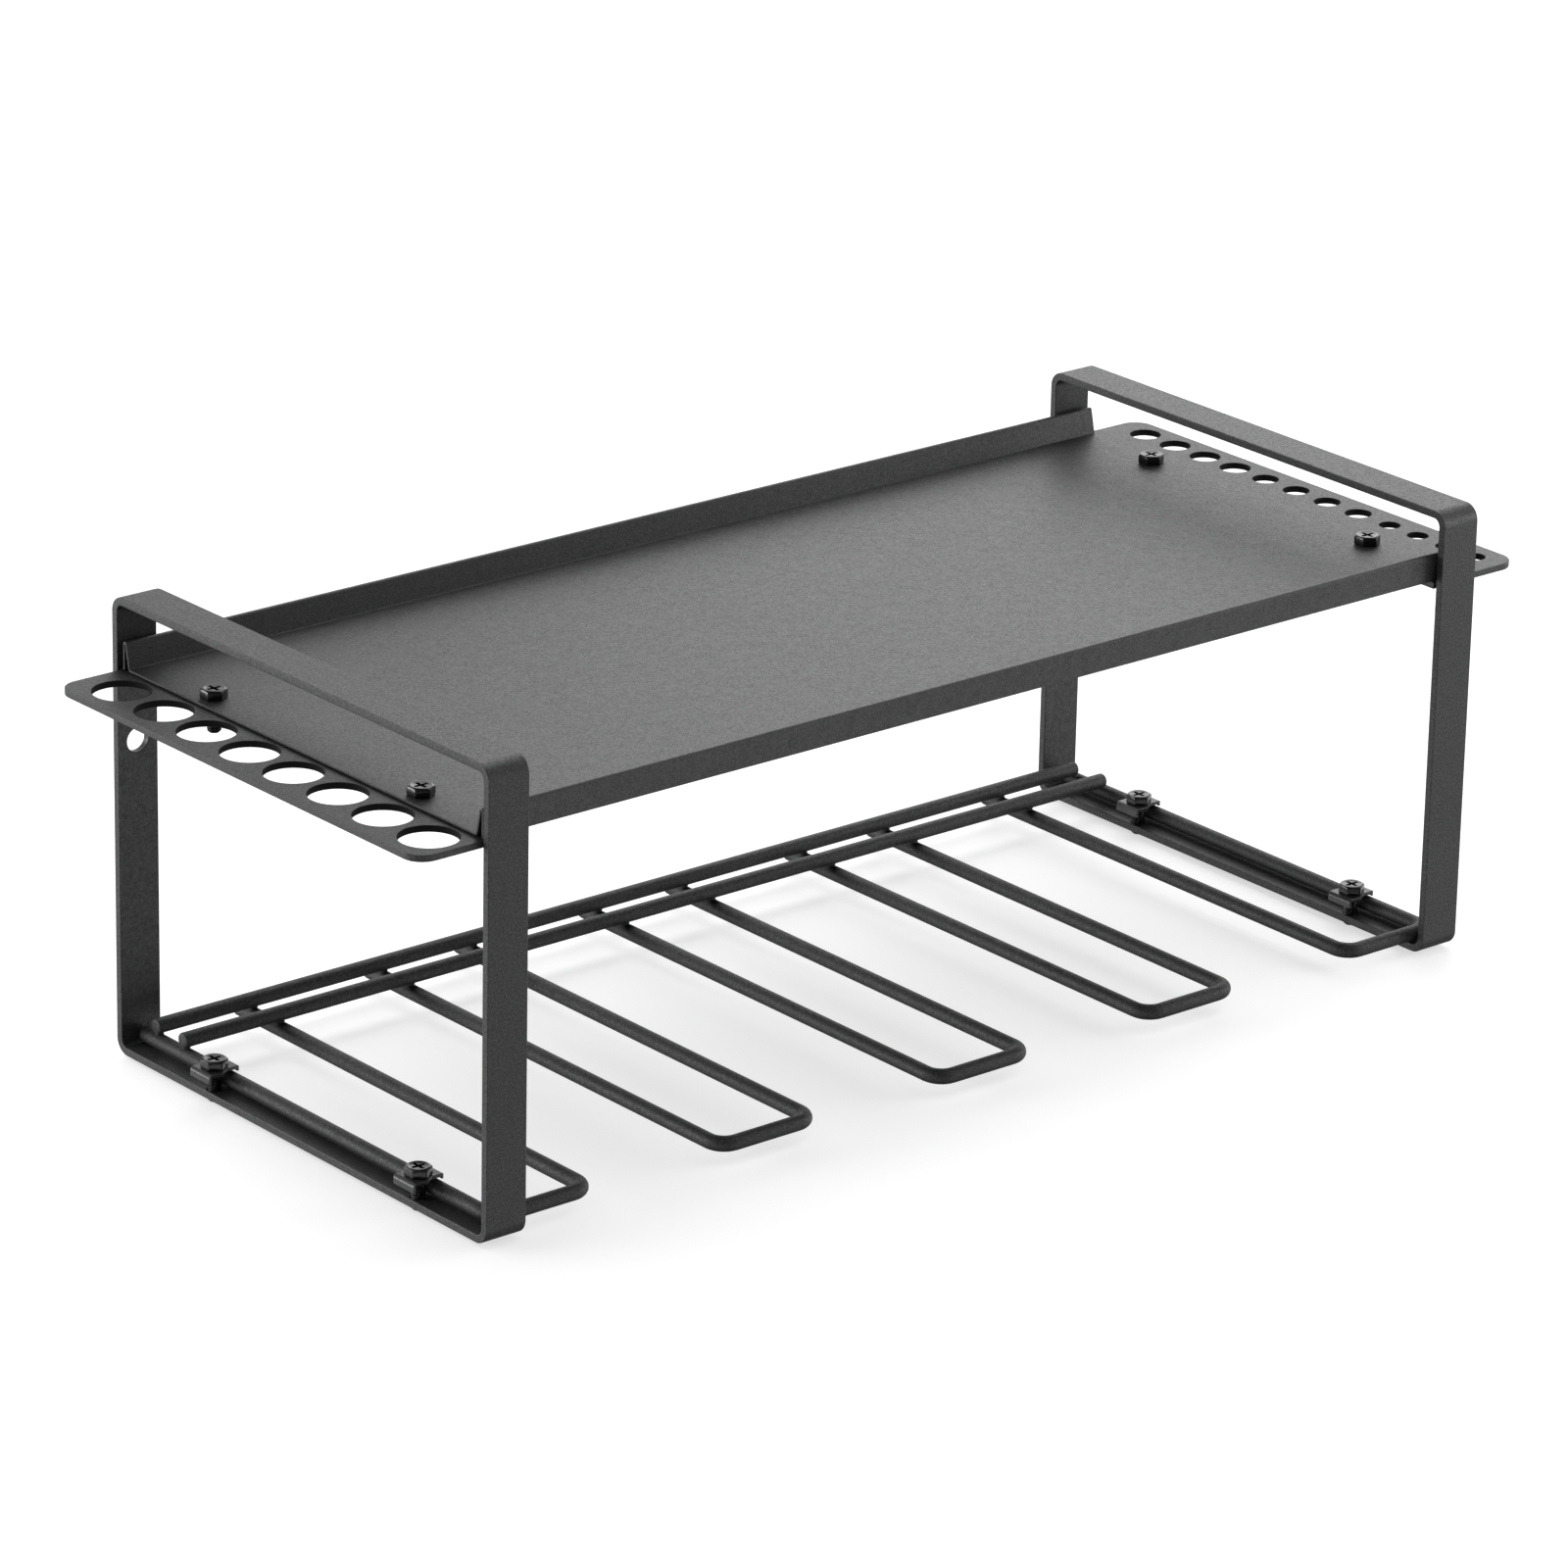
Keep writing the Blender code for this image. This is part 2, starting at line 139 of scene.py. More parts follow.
# How fine the meshes are.
ARC_STEPS = 8
HOLE_SIDES = 64
BOLT_SIDES = 72
THREAD_SIDES = 40
THREAD_STEPS_PER_TURN = 8
BEAD_SIDES = 14
SHARP_ANGLE = math.radians(38)
MERGE_DISTANCE = 2e-6

# How far a cutter reaches past the piece, and the small step in a hole cutter's outline.
CUTTER_REACH = 0.001
CUTTER_STEP = 0.0001


# Mesh helpers.


def link(name, data):
    made = bpy.data.objects.new(name, data)
    bpy.context.scene.collection.objects.link(made)
    return made


def circle(middle, radius, sides=HOLE_SIDES):
    turns = [2 * math.pi * side / sides for side in range(sides)]
    return [(middle[0] + radius * math.cos(a), middle[1] + radius * math.sin(a)) for a in turns]


def rectangle(low, high):
    return [(low[0], low[1]), (high[0], low[1]), (high[0], high[1]), (low[0], high[1])]


def filleted(corners, radii):
    """A path through the corners, with an arc of its radius at each. 0 keeps a corner sharp."""
    path = []
    for index, corner in enumerate(corners):
        here = Vector(corner)
        if not radii[index]:
            path.append(here)
            continue
        back = (Vector(corners[index - 1]) - here).normalized()
        ahead = (Vector(corners[(index + 1) % len(corners)]) - here).normalized()
        half_angle = back.angle(ahead) / 2
        centre = here + (back + ahead).normalized() * radii[index] / math.sin(half_angle)
        reach = radii[index] / math.tan(half_angle)
        first = here + back * reach - centre
        last = here + ahead * reach - centre
        for step in range(ARC_STEPS + 1):
            path.append(centre + first.slerp(last, step / ARC_STEPS).normalized() * radii[index])
    return path


def thickened(path, thickness):
    """The closed outline of a bent sheet whose middle line is the path."""
    sides = ([], [])
    for index, point in enumerate(path):
        before = (point - path[index - 1]).normalized() if index else None
        after = (path[index + 1] - point).normalized() if index < len(path) - 1 else None
        along = (before or after) + (after or before)
        along.normalize()
        spread = thickness / 2 / max(0.5, along.dot(after or before))
        across = Vector((-along.y, along.x)) * spread
        sides[0].append(point + across)
        sides[1].append(point - across)
    return sides[0] + sides[1][::-1]


def shade(mesh):
    mesh.shade_smooth()
    mesh.set_sharp_from_angle(angle=SHARP_ANGLE)


def evaluated_mesh(piece):
    graph = bpy.context.evaluated_depsgraph_get()
    return bpy.data.meshes.new_from_object(piece.evaluated_get(graph))


def apply_modifiers(piece):
    mesh = evaluated_mesh(piece)
    piece.modifiers.clear()
    piece.data = mesh


def settle(piece):
    """Keeps the piece's flat faces flat under smooth shading."""
    weigh = piece.modifiers.new("Normals", "WEIGHTED_NORMAL")
    weigh.keep_sharp = True
    apply_modifiers(piece)


def curve_mesh(curve, place=Matrix()):
    """The curve's skin as one closed mesh, moved to its place."""
    drawn = link(curve.name, curve)
    mesh = evaluated_mesh(drawn)
    bpy.data.objects.remove(drawn)
    shape = bmesh.new()
    shape.from_mesh(mesh)
    bmesh.ops.remove_doubles(shape, verts=shape.verts, dist=MERGE_DISTANCE)
    bmesh.ops.recalc_face_normals(shape, faces=shape.faces)
    bmesh.ops.transform(shape, matrix=place, verts=shape.verts)
    shape.to_mesh(mesh)
    shape.free()
    shade(mesh)
    return mesh


def extruded(name, outlines, length, edge, place):
    """A solid with rounded edges. The first outline is its outside, and the rest are holes."""
    curve = bpy.data.curves.new(name, "CURVE")
    curve.dimensions = "2D"
    curve.fill_mode = "BOTH"
    curve.extrude = length / 2 - edge
    curve.bevel_depth = edge
    curve.bevel_resolution = 2
    curve.offset = -edge
    for outline in outlines:
        spline = curve.splines.new("POLY")
        spline.points.add(len(outline) - 1)
        for point, spot in zip(spline.points, outline):
            point.co = (spot[0], spot[1], 0, 1)
        spline.use_cyclic_u = True
    return link(name, curve_mesh(curve, place))


def ring_mesh(name, rings, place=Matrix()):
    """A closed skin through the rings of points, with a flat cap at each end."""
    shape = bmesh.new()
    loops = [[shape.verts.new(place @ Vector(point)) for point in ring] for ring in rings]
    for lower, upper in zip(loops, loops[1:]):
        for side in range(len(lower)):
            following = (side + 1) % len(lower)
            shape.faces.new((lower[side], lower[following], upper[following], upper[side]))
    shape.faces.new(loops[0][::-1])
    shape.faces.new(loops[-1])
    bmesh.ops.recalc_face_normals(shape, faces=shape.faces)
    mesh = bpy.data.meshes.new(name)
    shape.to_mesh(mesh)
    shape.free()
    shade(mesh)
    return mesh


def turned_rings(profile, sides):
    return [[(*spot, z) for spot in circle((0, 0), radius, sides)] for radius, z in profile]


def cut_all(piece, cutters, operation="DIFFERENCE"):
    """Cuts the piece with each cutter, and removes the cutters."""
    for cutter in cutters:
        modifier = piece.modifiers.new(cutter.name, "BOOLEAN")
        modifier.operation = operation
        modifier.solver = "EXACT"
        modifier.object = cutter
    apply_modifiers(piece)
    shade(piece.data)
    for cutter in cutters:
        bpy.data.objects.remove(cutter)


def hole_cutter(radius, thickness, edge, place):
    """A cutter for a round hole with rounded rims, through a plate whose middle is at the place."""
    half = thickness / 2
    flare = [
        (radius + edge * (1 - math.sin(turn)), half - edge * (1 - math.cos(turn)))
        for turn in (0, math.pi / 6, math.pi / 3, math.pi / 2)
    ]
    rim = radius + edge
    upper = [(rim + 2 * CUTTER_STEP, half + CUTTER_REACH), (rim, half + CUTTER_STEP)] + flare
    profile = upper + [(spot, -z) for spot, z in reversed(upper)]
    return link("hole_cutter", ring_mesh("hole_cutter", turned_rings(profile, HOLE_SIDES), place))


def mark_shaded_walls(piece, holes):
    """Marks the walls of the holes, given as (x, y, radius), which the coat paints with near-black
    shade, darker than the faces.
    """
    mark = piece.data.attributes.new("hole_wall_shade", "FLOAT", "FACE")
    for face in piece.data.polygons:
        spot = face.center
        inside = any(
            math.hypot(spot.x - x, spot.y - y) < radius * 1.01 for x, y, radius in holes
        )
        mark.data[face.index].value = 1.0 if inside and abs(face.normal.z) < 0.5 else 0.0


def joined(name, meshes):
    shape = bmesh.new()
    for mesh in meshes:
        shape.from_mesh(mesh)
        bpy.data.meshes.remove(mesh)
    whole = bpy.data.meshes.new(name)
    shape.to_mesh(whole)
    shape.free()
    shade(whole)
    return link(name, whole)


def dress(piece, slot, *replaced):
    """Gives a finished piece its coat, and puts it on the body in place of its CAD nodes."""
    piece.data.materials.clear()
    piece.data.materials.append(COATS[slot])
    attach(piece, "root")
    if replaced:
        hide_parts(*replaced)


# Materials.


def set_stops(ramp, stops):
    elements = ramp.color_ramp.elements
    while len(elements) < len(stops):
        elements.new(0.5)
    for element, (position, colour) in zip(elements, stops):
        element.position = position
        element.color = colour


class Nodes:
    """A short way to add linked nodes to one material."""

    def __init__(self, name):
        self.material = bpy.data.materials.new(name)
        self.material.use_nodes = True
        self.tree = self.material.node_tree
        self.shader = self.tree.nodes["Principled BSDF"]
        self.place = self.add("ShaderNodeTexCoord").outputs["Object"]

    def add(self, kind, **settings):
        node = self.tree.nodes.new(kind)
        for key, value in settings.items():
            setattr(node, key, value)
        return node

    def link(self, source, target):
        self.tree.links.new(source, target)

    def noise(self, size, detail=2.0, roughness=0.5):
        """Noise whose blotches are about this many metres across."""
        node = self.add("ShaderNodeTexNoise")
        node.inputs["Scale"].default_value = 1 / size
        node.inputs["Detail"].default_value = detail
        node.inputs["Roughness"].default_value = roughness
        self.link(self.place, node.inputs["Vector"])
        return node.outputs["Fac"]

    def ramp(self, factor, stops):
        node = self.add("ShaderNodeValToRGB")
        set_stops(node, stops)
        self.link(factor, node.inputs["Fac"])
        return node.outputs["Color"]

    def mix(self, factor, first, second, blend="MIX"):
        node = self.add("ShaderNodeMix", data_type="RGBA", blend_type=blend)
        if isinstance(factor, float):
            node.inputs["Factor"].default_value = factor
        else:
            self.link(factor, node.inputs["Factor"])
        self.link(first, node.inputs["A"])
        self.link(second, node.inputs["B"])
        return node.outputs["Result"]

    def span(self, factor, low, high):
        """Stretches the middle of a noise factor over the range from low to high."""
        node = self.add("ShaderNodeMapRange")
        node.inputs["From Min"].default_value = 0.3
        node.inputs["From Max"].default_value = 0.7
        node.inputs["To Min"].default_value = low
        node.inputs["To Max"].default_value = high
        self.link(factor, node.inputs["Value"])
        return node.outputs["Result"]

    def bump(self, height, distance, strength, under=None):
        node = self.add("ShaderNodeBump")
        node.inputs["Distance"].default_value = distance
        node.inputs["Strength"].default_value = strength
        self.link(height, node.inputs["Height"])
        if under:
            self.link(under, node.inputs["Normal"])
        return node.outputs["Normal"]


def grey(value):
    """A faintly cool grey."""
    return (value, value * 1.01, value * 1.03, 1)


def powder_coat(name, tone, gloss, grain, relief):
    """A sandy black powder coat: fine grain, faint clouds, lighter edges that are partly wear and
    partly painted highlight, and painted shade on marked hole walls.
    """
    nodes = Nodes(name)
    drift = nodes.noise(0.045, 3.0)
    clouds = nodes.ramp(drift, [(0.30, grey(tone * 0.88)), (0.70, grey(tone * 1.12))])
    speckle = nodes.noise(grain, 3.0, 0.6)
    flecks = nodes.ramp(speckle, [(0.34, grey(0.35)), (0.50, grey(0.95)), (0.66, grey(2.1))])
    coat = nodes.mix(1.0, clouds, flecks, "MULTIPLY")
    # Lighter edges, found by pointiness and broken into patches: partly wear, partly a painted
    # highlight where the rounded edges catch light.
    rub_and_edge_highlight = nodes.ramp(
        nodes.add("ShaderNodeNewGeometry").outputs["Pointiness"],
        [(0.505, grey(0.0)), (0.57, grey(1.0))],
    )
    patches = nodes.ramp(nodes.noise(0.004), [(0.3, grey(0.1)), (0.7, grey(0.8))])
    patchy_rub_and_highlight = nodes.mix(1.0, rub_and_edge_highlight, patches, "MULTIPLY")
    worn_and_highlit = nodes.ramp(speckle, [(0.3, grey(tone * 1.4)), (0.7, grey(tone * 2.6))])
    # Painted shade: the marked walls of tool holes get a near-black colour that stands in for the
    # shade inside the holes, and a rougher finish.
    walls = nodes.add("ShaderNodeAttribute", attribute_name="hole_wall_shade").outputs["Fac"]
    painted_wall_shade = nodes.ramp(speckle, [(0.3, grey(0.001)), (0.7, grey(0.003))])
    coated = nodes.mix(patchy_rub_and_highlight, coat, worn_and_highlit)
    nodes.link(nodes.mix(walls, coated, painted_wall_shade), nodes.shader.inputs["Base Color"])
    satin = nodes.span(speckle, gloss + 0.10, gloss - 0.10)
    chalky = nodes.ramp(speckle, [(0.0, grey(0.97)), (1.0, grey(0.99))])
    nodes.link(nodes.mix(walls, satin, chalky), nodes.shader.inputs["Roughness"])
    sand = nodes.bump(speckle, relief, 0.8)
    peel = nodes.bump(nodes.noise(0.0035, 1.0), relief * 1.2, 0.25, sand)
    nodes.link(peel, nodes.shader.inputs["Normal"])
    return nodes.material


def bolt_black():
    """Smooth black plating, glossier than the coat and faintly uneven."""
    nodes = Nodes("bolt_black")
    speckle = nodes.noise(0.00035, 3.0, 0.6)
    tone = nodes.ramp(speckle, [(0.35, grey(0.005)), (0.65, grey(0.009))])
    nodes.link(tone, nodes.shader.inputs["Base Color"])
    nodes.link(nodes.span(nodes.noise(0.0012, 3.0), 0.22, 0.32), nodes.shader.inputs["Roughness"])
    nodes.shader.inputs["Specular IOR Level"].default_value = 0.35
    nodes.shader.inputs["Coat Weight"].default_value = 0.15
    nodes.shader.inputs["Coat Roughness"].default_value = 0.12
    nodes.link(nodes.bump(speckle, 0.00002, 0.3), nodes.shader.inputs["Normal"])
    return nodes.material


def pale_floor():
    nodes = Nodes("pale_floor")
    stops = [(0.3, (0.58, 0.58, 0.58, 1)), (0.7, (0.60, 0.60, 0.60, 1))]
    tone = nodes.ramp(nodes.noise(0.9, 2.0), stops)
    nodes.link(tone, nodes.shader.inputs["Base Color"])
    nodes.shader.inputs["Roughness"].default_value = 0.9
    nodes.shader.inputs["Specular IOR Level"].default_value = 0.1
    nodes.shader.inputs["Emission Color"].default_value = (1, 1, 1, 1)
    nodes.shader.inputs["Emission Strength"].default_value = FLOOR_GLOW
    return nodes.material


# Pieces. An outline drawn under ALONG_X lies in Y and Z, and one under ALONG_Y in X and Z.

ALONG_X = Matrix.Rotation(math.pi / 2, 4, "Z") @ Matrix.Rotation(math.pi / 2, 4, "X")
ALONG_Y = Matrix.Rotation(math.pi / 2, 4, "X")


def middle_of(node):
    low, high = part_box(node)
    return (low + high) / 2


def hoop_frame(side_name):
    node = f"{side_name}_hoop_frame"
    low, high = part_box(node)
    width = high.x - low.x
    middle_x = (low.x + high.x) / 2
    outside = rectangle((low.y, low.z), (high.y, high.z))
    inner_low = (low.y + BAR_THICK, low.z + BAR_THICK)
    inner_high = (high.y - BAR_THICK, high.z - BAR_THICK)
    inside = rectangle(inner_low, inner_high)
    outlines = [filleted(outside, [BAR_BEND] * 4), filleted(inside, [BAR_BEND - BAR_THICK] * 4)]
    place = Matrix.Translation((middle_x, 0, 0)) @ ALONG_X
    hoop = extruded(node + "_coated", outlines, width, BAR_EDGE, place)
    wall_spot = Matrix.Translation((middle_x, high.y - BAR_THICK / 2, WALL_HOLE_HEIGHT))
    cutters = [hole_cutter(WALL_HOLE_RADIUS, BAR_THICK, BAR_EDGE, wall_spot @ ALONG_Y)]
    for row in ("rear", "front"):
        bolt = middle_of(f"clip_bolt_{side_name}_{row}")
        place = Matrix.Translation((bolt.x, bolt.y, low.z + BAR_THICK / 2))
        cutters.append(hole_cutter(BOLT_HOLE_RADIUS, BAR_THICK, BOLT_HOLE_EDGE, place))
    cut_all(hoop, cutters)
    settle(hoop)
    dress(hoop, "bar_coat", node)


def tool_plate(side_name, side, tool_holes):
    node = f"{side_name}_tool_plate"
    low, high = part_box(node)
    inner_x, outer_x = (high.x, low.x) if side < 0 else (low.x, high.x)
    corners = [(inner_x, low.y), (outer_x, low.y), (outer_x, high.y), (inner_x, high.y)]
    outline = filleted(corners, [0, PLATE_CORNER, PLATE_CORNER, 0])
    bolts = [middle_of(f"shelf_bolt_{side_name}_{row}") for row in ("rear", "front")]
    bolt_holes = [circle((bolt.x, bolt.y), BOLT_HOLE_RADIUS, HOLE_SIDES // 2) for bolt in bolts]
    place = Matrix.Translation((0, 0, (low.z + high.z) / 2))
    drilled = [circle((x, y), radius) for x, y, radius in tool_holes]
    outlines = [outline, *bolt_holes, *drilled]
    plate = extruded(node + "_coated", outlines, high.z - low.z, PLATE_EDGE, place)
    # The walls of the tool holes are marked for the coat's painted shade.
    mark_shaded_walls(plate, tool_holes)
    settle(plate)
    dress(plate, "sheet_coat", node)


def brush_holes():
    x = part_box("left_tool_plate")[0].x + BRUSH_HOLE_INSET
    ys = [BRUSH_HOLE_FIRST - BRUSH_HOLE_PITCH * index for index in range(BRUSH_HOLE_COUNT)]
    return [(x, y, BRUSH_HOLE_RADIUS) for y in ys]


def scissor_holes():
    """Holes in three sizes, from the largest at the back."""
    holes = []
    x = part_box("right_tool_plate")[1].x - SCISSOR_HOLE_INSET
    y = SCISSOR_HOLE_FIRST
    for radius in SCISSOR_HOLE_RADII:
        smallest = radius == SCISSOR_HOLE_RADII[-1]
        for _ in range(SCISSOR_HOLES_PER_SIZE):
            holes.append((x, y, radius))
            y -= SCISSOR_HOLE_NARROW_PITCH if smallest else SCISSOR_HOLE_WIDE_PITCH
    return holes


def shelf_tray():
    """The shelf: a flat sheet whose front and rear edges turn up, fold over and come back down."""
    low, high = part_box("shelf_tray")
    half = [
        (LIP_BASE, 0),
        (LIP_TOP, LIP_HEIGHT),
        (LIP_OUTSIDE, LIP_HEIGHT),
        (LIP_OUTSIDE, -HEM_DROP),
    ]
    bends = [LIP_BEND, HEM_BEND, HEM_BEND, 0]
    corners = [(-y, z) for y, z in reversed(half)] + half
    section = thickened(filleted(corners, bends[::-1] + bends), SHEET_THICK)
    middle = Vector(((low.x + high.x) / 2, 0, low.z + SHEET_THICK / 2))
    place = Matrix.Translation(middle) @ ALONG_X
    tray = extruded("shelf_tray_coated", [section], high.x - low.x, SHEET_EDGE, place)
    cutters = []
    for side_name in ("left", "right"):
        for row in ("rear", "front"):
            bolt = middle_of(f"shelf_bolt_{side_name}_{row}")
            spot = Matrix.Translation((bolt.x, bolt.y, middle.z))
            cutters.append(hole_cutter(BOLT_HOLE_RADIUS, SHEET_THICK, BOLT_HOLE_EDGE, spot))
    cut_all(tray, cutters)
    settle(tray)
    dress(tray, "sheet_coat", "shelf_tray")


def wire(name, path, radius, height, node):
    """A round wire along a level path, with softly rounded ends."""
    curve = bpy.data.curves.new(name, "CURVE")
    curve.dimensions = "3D"
    curve.bevel_depth = radius
    curve.bevel_resolution = 8
    curve.use_fill_caps = True
    first_step = (path[1] - path[0]).normalized() * WIRE_END_ROUNDING
    last_step = (path[-2] - path[-1]).normalized() * WIRE_END_ROUNDING
    turns = (math.pi / 2, math.pi / 4, math.pi / 8, 0)
    narrow = WIRE_END_ROUNDING / radius
    ends = [(1 - math.sin(turn), 1 - narrow * (1 - math.cos(turn))) for turn in turns]
    points = [(path[0] + first_step * away, scale) for away, scale in ends]
    points += [(spot, 1.0) for spot in path[1:-1]]
    points += [(path[-1] + last_step * away, scale) for away, scale in reversed(ends)]
    spline = curve.splines.new("POLY")
    spline.points.add(len(points) - 1)
    for point, (spot, scale) in zip(spline.points, points):
        point.co = (spot.x, spot.y, height, 1)
        point.radius = scale
    dress(link(name, curve_mesh(curve)), "wire_coat", node)


def wire_rack():
    for index in range(1, LOOP_COUNT + 1):
        node = f"hook_loop_{index}"
        low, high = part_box(node)
        radius = (high.z - low.z) / 2
        left, right, front = low.x + radius, high.x - radius, low.y + radius
        corners = [(left, high.y), (left, front), (right, front), (right, high.y)]
        path = filleted(corners, [0, LOOP_BEND, LOOP_BEND, 0])
        wire(node + "_coated", path, radius, (low.z + high.z) / 2, node)
    for node in ("rear_rack_rail", "front_rack_rail"):
        low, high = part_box(node)
        middle = (low + high) / 2
        path = [Vector((low.x, middle.y)), Vector((0, middle.y)), Vector((high.x, middle.y))]
        wire(node + "_coated", path, (high.z - low.z) / 2, middle.z, node)


def clip_plan(low, high):
    """The clip from above, about its middle line: wide at the heel, with a tongue for a toe."""
    half = (high.y - low.y) / 2
    tongue = CLIP_TONGUE_WIDTH / 2
    corners = [
        (low.x, half),
        (low.x + CLIP_SHOULDER, half),
        (low.x + CLIP_WAIST, tongue),
        (high.x, tongue),
    ]
    corners += [(x, -y) for x, y in reversed(corners)]
    return filleted(corners, CLIP_CORNERS + CLIP_CORNERS[::-1])


def clamp_clip(corner_name):
    """A stamped clip: its heel hangs beside the bolt, and its toe presses on the wire."""
    node = f"clamp_clip_{corner_name}"
    low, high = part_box(node)
    half = CLIP_THICK / 2
    heel, toe = low.x + half, high.x - half
    level = high.z - half
    corners = [(heel, low.z), (heel, level), (toe, level), (toe, level - CLIP_TOE_DROP)]
    section = thickened(filleted(corners, [0, CLIP_BEND, CLIP_BEND, 0]), CLIP_THICK)
    sideways = Matrix.Translation((0, (low.y + high.y) / 2, 0))
    width = high.y - low.y
    clip = extruded(node + "_coated", [section], width, CLIP_EDGE, sideways @ ALONG_Y)
    heights = (low.z - CUTTER_REACH, high.z + CUTTER_REACH)
    rings = [[(x, y, z) for x, y in clip_plan(low, high)] for z in heights]
    plan = link("clip_plan", ring_mesh("clip_plan", rings, sideways))
    cut_all(clip, [plan], "INTERSECT")
    bolt = middle_of(f"clip_bolt_{corner_name}")
    place = Matrix.Translation((bolt.x, bolt.y, level))
    cut_all(clip, [hole_cutter(BOLT_HOLE_RADIUS, CLIP_THICK, BOLT_HOLE_EDGE, place)])
    settle(clip)
    dress(clip, "clip_coat", node)


def hexagon_radius(turn):
    """How far the head's side is from its axis, with the six corners cut back to a circle."""
    from_flat = (turn + math.pi / 6) % (math.pi / 3) - math.pi / 6
    return min(HEAD_ACROSS_FLATS / 2 / math.cos(from_flat), HEAD_CORNER_RADIUS)


def head_rings():
    """The head's skin from its underside up, over the chamfered rim and down into the dish."""
    turns = [2 * math.pi * side / BOLT_SIDES for side in range(BOLT_SIDES)]

    def ring(radius_at, height_at):
        return [
            (radius_at(turn) * math.cos(turn), radius_at(turn) * math.sin(turn), height_at(turn))
            for turn in turns
        ]

    def chamfer(turn):
        return HEAD_HEIGHT - (hexagon_radius(turn) - HEAD_RIM_RADIUS) * math.tan(HEAD_CHAMFER)

    core = 0.0005
    top = HEAD_HEIGHT
    dish = top - HEAD_DISH_DEPTH
    return [
        ring(lambda turn: core, lambda turn: 0),
        ring(lambda turn: hexagon_radius(turn) - 0.00035, lambda turn: 0),
        ring(lambda turn: hexagon_radius(turn) - 0.00008, lambda turn: 0.00012),
        ring(hexagon_radius, lambda turn: 0.0004),
        ring(hexagon_radius, lambda turn: chamfer(turn) - 0.00008),
        ring(lambda turn: hexagon_radius(turn) - 0.00006, lambda turn: chamfer(turn) + 0.00001),
        ring(lambda turn: HEAD_RIM_RADIUS, lambda turn: top - 0.00003),
        ring(lambda turn: HEAD_RIM_RADIUS - 0.00015, lambda turn: top),
        ring(lambda turn: HEAD_DISH_RADIUS + 0.0002, lambda turn: top),
        ring(lambda turn: HEAD_DISH_RADIUS, lambda turn: top - 0.00006),
        ring(lambda turn: HEAD_DISH_RADIUS - 0.0003, lambda turn: dish),
        ring(lambda turn: core, lambda turn: dish - 0.00005),
    ]


def shank_rings(length, top):
    """A single-start thread, cut down to a cone at the tip and running out just under the head."""
    rings = []
    steps = round(length / THREAD_PITCH * THREAD_STEPS_PER_TURN)
    for step in range(steps + 1):
        height = -length + (length + top) * step / steps
        from_tip = height + length
        ring = []
        for side in range(THREAD_SIDES):
            turn = 2 * math.pi * side / THREAD_SIDES
            phase = (height / THREAD_PITCH - side / THREAD_SIDES) % 1
            crest = min(1, max(0, 1.5 * (1 - abs(2 * phase - 1)) - 0.2))
            radius = THREAD_RADIUS - THREAD_DEPTH * (1 - crest)
            radius = min(radius, THREAD_RADIUS - THREAD_TIP_CUT + from_tip)
            if height > -THREAD_RUNOUT:
                radius = THREAD_RADIUS - 0.0001
            ring.append((radius * math.cos(turn), radius * math.sin(turn), height))
        rings.append(ring)
    return rings


def cross_cutter(place):
    """Two wedges crossed, as the driver's bit is."""
    arms = []
    for arm in range(2):
        shape = bmesh.new()
        bmesh.ops.create_cube(shape, size=1)
        for vertex in shape.verts:
            taper = 1 if vertex.co.z > 0 else 0.7
            vertex.co.x *= RECESS_LENGTH * taper
            vertex.co.y *= RECESS_WIDTH * (0.5 + taper / 2)
            vertex.co.z *= 2 * RECESS_DEPTH
        turned = Matrix.Rotation(arm * math.pi / 2, 4, "Z")
        bmesh.ops.transform(shape, matrix=place @ turned, verts=shape.verts)
        mesh = bpy.data.meshes.new("cross_cutter")
        shape.to_mesh(mesh)
        shape.free()
        arms.append(link("cross_cutter", mesh))
    return arms


def hex_bolt(node):
    low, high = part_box(node)
    middle = (low + high) / 2
    seat = high.z - HEAD_HEIGHT - SEAT_GAP
    place = Matrix.Translation((middle.x, middle.y, seat))
    head = link(node + "_head", ring_mesh(node + "_head", head_rings(), place))
    cut_all(head, cross_cutter(place @ Matrix.Translation((0, 0, HEAD_HEIGHT - HEAD_DISH_DEPTH))))
    skin = head.data
    bpy.data.objects.remove(head)
    shank = ring_mesh(node + "_shank", shank_rings(seat - low.z, SHANK_OVERLAP), place)
    dress(joined(node + "_threaded", [skin, shank]), "bolt_coat", node)


# Welds.


def weld_bead(start, end, radius):
    """A rippled bead of weld from start to end, thinning out at both ends."""
    start, end = Vector(start), Vector(end)
    along = end - start
    steps = max(8, round(along.length / WELD_RIPPLE * 5))
    frame_turn = along.to_track_quat("Z", "Y").to_matrix()
    rings = []
    for step in range(steps + 1):
        part = step / steps
        ends = math.sqrt(max(0.02, 1 - abs(2 * part - 1) ** 6))
        wave = abs(math.sin(math.pi * part * along.length / WELD_RIPPLE))
        ripple = 1 + WELD_UNEVENNESS * wave
        spot = start + along * part
        wander = noise.noise(spot * 700) * WELD_UNEVENNESS
        size = radius * ends * ripple * (1 + wander)
        outline = circle((0, 0), size, BEAD_SIDES)
        rings.append([spot + frame_turn @ Vector((x, y, 0)) for x, y in outline])
    return ring_mesh("weld_bead", rings)


